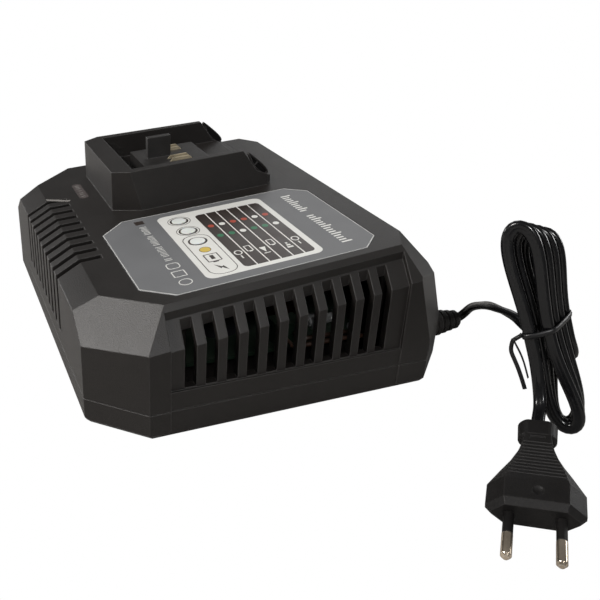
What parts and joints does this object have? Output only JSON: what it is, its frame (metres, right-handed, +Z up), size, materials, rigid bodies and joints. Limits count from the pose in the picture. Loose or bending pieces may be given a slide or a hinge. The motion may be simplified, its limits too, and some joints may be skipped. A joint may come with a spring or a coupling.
{
  "type": "power tool battery charger",
  "caption": "Low black bench charger with louvred sides, an open slide-on battery dock, a sloping label with lights and a tied flat mains cord with a slim plug.",
  "frame": {"origin": "centre of the case's footprint, on the table under its feet", "axes": "+X to the label's side across the case, +Y from the louvred front to the cord end, +Z up"},
  "size_m": [0.3354, 0.2022, 0.0945],
  "materials": {
    "housing_black": "moulded, fine grain",
    "insulator_dark": "moulded, satin",
    "label_grey": "printed polycarbonate",
    "lens_white": "clear white",
    "led_red": "clear",
    "rubber_black": "satin",
    "flex_black": "soft PVC, glossy",
    "board_green": "glass-fibre board",
    "brass_contact": "bright",
    "steel_screw": "zinc plated",
    "nickel_pin": "nickel plated",
    "ferrite": "matt",
    "copper_coil": "taped winding",
    "can_dark": "sleeved can",
    "can_blue": "sleeved can",
    "choke_copper": "wound ring",
    "fuse_glass": "clear",
    "alloy_sink": "extruded",
    "switch_black": "epoxy",
    "terminal_green": "moulded",
    "lead_sleeve": "PVC",
    "lead_red": "PVC",
    "tie_black": "PVC over wire"
  },
  "bodies": {
    "charger": {"top_cover": "housing_black", "bottom_cover": "housing_black", "feet": "rubber_black", "label_plate": "label_grey", "signal_lenses": "lens_white", "signal_board": "board_green", "signal_board_posts": "housing_black", "signal_leds": "led_red", "contact_block": "insulator_dark", "contact_blades": "brass_contact", "contact_screws": "steel_screw", "circuit_board": "board_green", "board_screws": "steel_screw", "transformer_core": "ferrite", "transformer_coil": "copper_coil", "main_capacitor": "can_dark", "output_capacitors": "can_blue", "input_choke": "choke_copper", "fuse_link": "fuse_glass", "fuse_clips": "steel_screw", "heat_sinks": "alloy_sink", "power_switches": "switch_black", "mains_terminal": "terminal_green", "mains_leads": "lead_sleeve", "output_leads": "lead_red", "cord_clamp": "insulator_dark", "clamp_screws": "steel_screw", "case_screws": "steel_screw", "strain_relief": "rubber_black", "cord": "flex_black", "cord_hank": "flex_black", "cord_lead": "flex_black", "cord_tie": "tie_black", "plug_body": "rubber_black", "pin_sleeves": "rubber_black", "plug_pins": "nickel_pin"}
  },
  "joints": []
}
